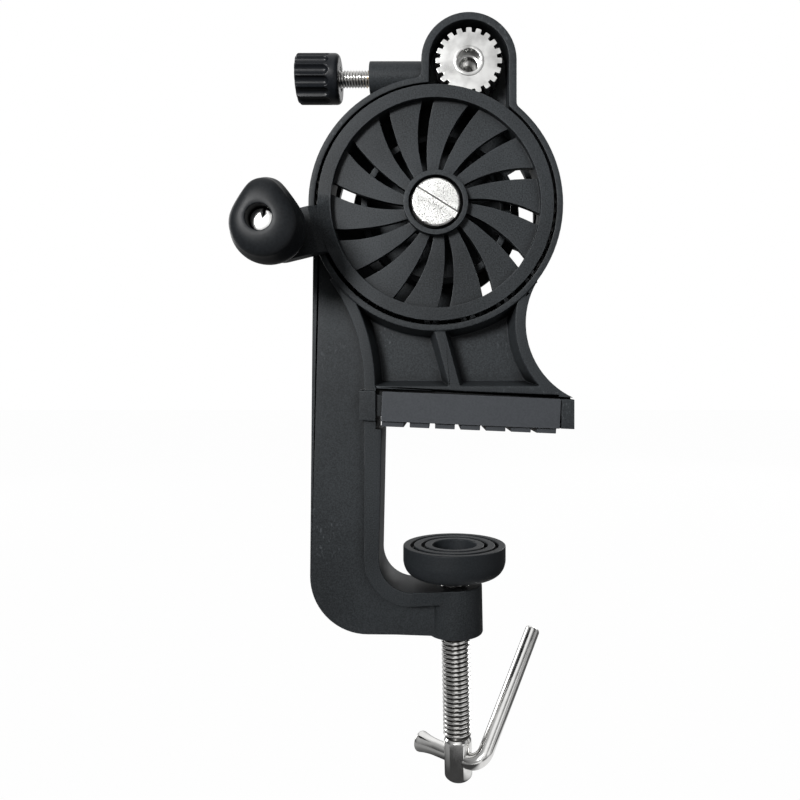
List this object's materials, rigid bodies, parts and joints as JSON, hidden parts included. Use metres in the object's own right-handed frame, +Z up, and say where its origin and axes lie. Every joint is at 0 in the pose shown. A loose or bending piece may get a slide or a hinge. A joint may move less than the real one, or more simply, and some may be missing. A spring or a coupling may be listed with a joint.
{
  "type": "fishing line winder",
  "caption": "Clamp-on winder for fishing line: geared crank wheel in a round pan on a C-shaped table clamp, driving a pinion and spool arbor, with a thumb-screw drag.",
  "frame": {"origin": "on the clamp screw axis, in the plane of the jaw grip ribs that rest on the table top", "axes": "+Z up, +X from the arm towards the open end of the clamp, +Y from the crank side to the spool side"},
  "size_m": [0.1056, 0.1293, 0.258],
  "materials": {
    "moulded_black": "satin moulded plastic with a fine grain",
    "smooth_black": "smoother satin plastic of the jaw grip",
    "knob_black": "smooth moulded plastic",
    "zinc": "bright zinc-plated steel",
    "nickel": "nickel-plated steel",
    "bright_bolt": "zinc-plated steel, lightly pitted",
    "bronze": "sintered bronze and brass",
    "shoe": "soft brake shoe"
  },
  "bodies": {
    "frame": {"clamp_frame": "moulded_black", "jaw_grip": "smooth_black", "wheel_bolt": "bright_bolt", "thrust_washer": "zinc", "wheel_bolt_washer": "zinc", "wheel_bolt_nut": "zinc", "spindle_front_bush": "bronze", "spindle_rear_bush": "bronze", "drag_insert": "bronze", "clamp_insert": "bronze"},
    "wheel": {"crank_wheel": "moulded_black", "wheel_bush": "bronze", "handle_washer": "zinc", "handle_axle": "bright_bolt", "handle_nut": "zinc"},
    "handle": {"handle_knob": "knob_black", "handle_sleeve": "bronze"},
    "pinion": {"pinion_gear": "zinc", "pinion_key": "zinc", "spindle": "zinc", "spindle_washer": "zinc", "spindle_collar": "zinc", "collar_screw": "zinc", "drive_cone": "moulded_black"},
    "loose_cone": {"loose_cone": "moulded_black"},
    "spool_nut": {"spool_nut": "zinc"},
    "brake_shoe": {"brake_shoe": "shoe"},
    "drag_screw": {"drag_screw": "nickel", "drag_knob": "knob_black"},
    "clamp_pad": {"clamp_pad": "moulded_black"},
    "clamp_screw": {"clamp_screw": "nickel", "pad_washer": "zinc", "pad_ring": "zinc"},
    "tommy_bar": {"tommy_bar": "nickel"}
  },
  "joints": [
    {"name": "wheel_spin", "type": "hinge", "parent": "frame", "child": "wheel", "pos_m": [-0.0054, 0, 0.0742], "axis": [0, 1, 0], "continuous": true},
    {"name": "handle_spin", "type": "hinge", "parent": "wheel", "child": "handle", "pos_m": [-0.05514, -0.03, 0.06207], "axis": [0, 1, 0], "continuous": true},
    {"name": "pinion_spin", "type": "hinge", "parent": "frame", "child": "pinion", "pos_m": [0.00551, 0, 0.12146], "axis": [0, 1, 0], "continuous": true},
    {"name": "cone_slide", "type": "slide", "parent": "pinion", "child": "loose_cone", "axis": [0, -1, 0], "range_m": [0, 0.02]},
    {"name": "spool_nut_turn", "type": "hinge", "parent": "loose_cone", "child": "spool_nut", "pos_m": [0.00551, 0.068, 0.12146], "axis": [0, -1, 0], "range_deg": [0, 5760]},
    {"name": "shoe_slide", "type": "slide", "parent": "frame", "child": "brake_shoe", "axis": [1, 0, 0], "range_m": [0, 0.004]},
    {"name": "drag_turn", "type": "hinge", "parent": "brake_shoe", "child": "drag_screw", "pos_m": [-0.039, 0.004, 0.12146], "axis": [1, 0, 0], "range_deg": [0, 1440]},
    {"name": "clamp_travel", "type": "slide", "parent": "frame", "child": "clamp_pad", "axis": [-0.0201, 0, 0.9998], "range_m": [0, 0.031]},
    {"name": "screw_turn", "type": "hinge", "parent": "clamp_pad", "child": "clamp_screw", "pos_m": [0.0012, 0, -0.05999], "axis": [-0.0201, 0, 0.9998], "range_deg": [-90, 90]},
    {"name": "bar_swing", "type": "hinge", "parent": "clamp_screw", "child": "tommy_bar", "pos_m": [0.00228, 0, -0.11348], "axis": [-0.7659, 0.6428, -0.0154], "range_deg": [0, 230]}
  ],
  "couplings": [
    {"joint": "pinion_spin", "follows": "wheel_spin", "ratio": -3.85},
    {"joint": "shoe_slide", "follows": "drag_turn", "m_per_rad": 0.00015915},
    {"joint": "cone_slide", "follows": "spool_nut_turn", "m_per_rad": 0.00019894}
  ]
}
